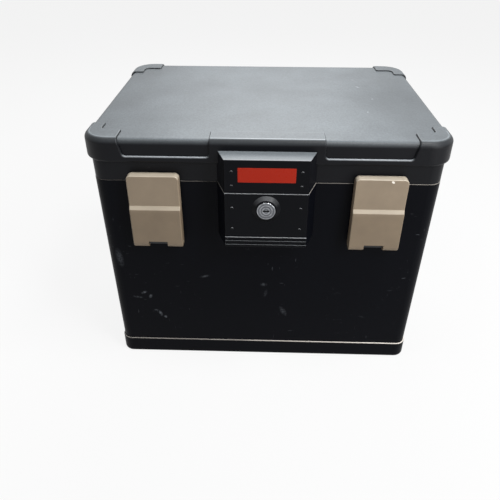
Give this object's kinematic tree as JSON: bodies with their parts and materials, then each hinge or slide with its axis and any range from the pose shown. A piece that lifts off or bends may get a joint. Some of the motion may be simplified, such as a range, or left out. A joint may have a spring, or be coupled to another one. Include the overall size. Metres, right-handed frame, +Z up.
{
  "type": "fireproof safe",
  "caption": "Fire resistant document chest in black plastic with an insulated body, a hinged lid, swing-down latches and a cam lock in a raised housing on the front.",
  "frame": {"origin": "middle of the underside of the body, on the floor", "axes": "+Z up, the front with the lock housing faces -Y, +X to the right as seen from the front"},
  "size_m": [0.466, 0.4027, 0.362],
  "materials": {
    "shell_plastic": "satin black moulded plastic, finely grained",
    "liner_plastic": "matt dark grey moulded plastic",
    "insulation": "cast mineral filling, dull off-white",
    "black_plastic": "satin black plastic",
    "gasket_rubber": "matt black rubber",
    "badge_red": "satin red enamel, plain",
    "latch_plastic": "satin champagne coloured plastic",
    "chrome": "bright chrome plate",
    "zinc_steel": "zinc plated steel",
    "black_steel": "black painted steel"
  },
  "bodies": {
    "case": {"body_shell": "shell_plastic", "body_liner": "liner_plastic", "body_insulation": "insulation", "body_fill_plugs": "shell_plastic", "lock_plate": "shell_plastic", "lock_plate_studs": "black_plastic", "lock_barrel": "chrome", "lock_nut": "zinc_steel", "left_latch_bracket": "black_steel", "right_latch_bracket": "black_steel", "left_latch_pin": "zinc_steel", "right_latch_pin": "zinc_steel", "bracket_screws": "zinc_steel", "left_body_hinge_leaf": "black_steel", "right_body_hinge_leaf": "black_steel", "left_hinge_pin": "zinc_steel", "right_hinge_pin": "zinc_steel", "body_hinge_screws": "zinc_steel"},
    "lid": {"lid_shell": "shell_plastic", "lid_liner": "liner_plastic", "lid_insulation": "insulation", "lid_gasket": "gasket_rubber", "badge_plate": "shell_plastic", "badge": "badge_red", "badge_plate_studs": "black_plastic", "left_latch_catch": "black_plastic", "right_latch_catch": "black_plastic", "lock_strike": "zinc_steel", "strike_screws": "zinc_steel", "left_lid_hinge_leaf": "black_steel", "right_lid_hinge_leaf": "black_steel", "lid_hinge_screws": "zinc_steel"},
    "left_latch_body": {"left_latch": "latch_plastic"},
    "right_latch_body": {"right_latch": "latch_plastic"},
    "lock_core_body": {"lock_core": "chrome", "lock_cam": "zinc_steel", "cam_screw": "zinc_steel"}
  },
  "joints": [
    {"name": "lid_hinge", "type": "hinge", "parent": "case", "child": "lid", "pos_m": [0, 0.183, 0.3038], "axis": [-1, 0, 0], "range_deg": [0, 95]},
    {"name": "left_latch_hinge", "type": "hinge", "parent": "case", "child": "left_latch_body", "pos_m": [-0.1444, -0.184, 0.2185], "axis": [1, 0, 0], "range_deg": [0, 120]},
    {"name": "right_latch_hinge", "type": "hinge", "parent": "case", "child": "right_latch_body", "pos_m": [0.1444, -0.184, 0.2185], "axis": [1, 0, 0], "range_deg": [0, 120]},
    {"name": "lock_turn", "type": "hinge", "parent": "case", "child": "lock_core_body", "pos_m": [0, -0.2, 0.2828], "axis": [0, 1, 0], "range_deg": [0, 90]}
  ]
}
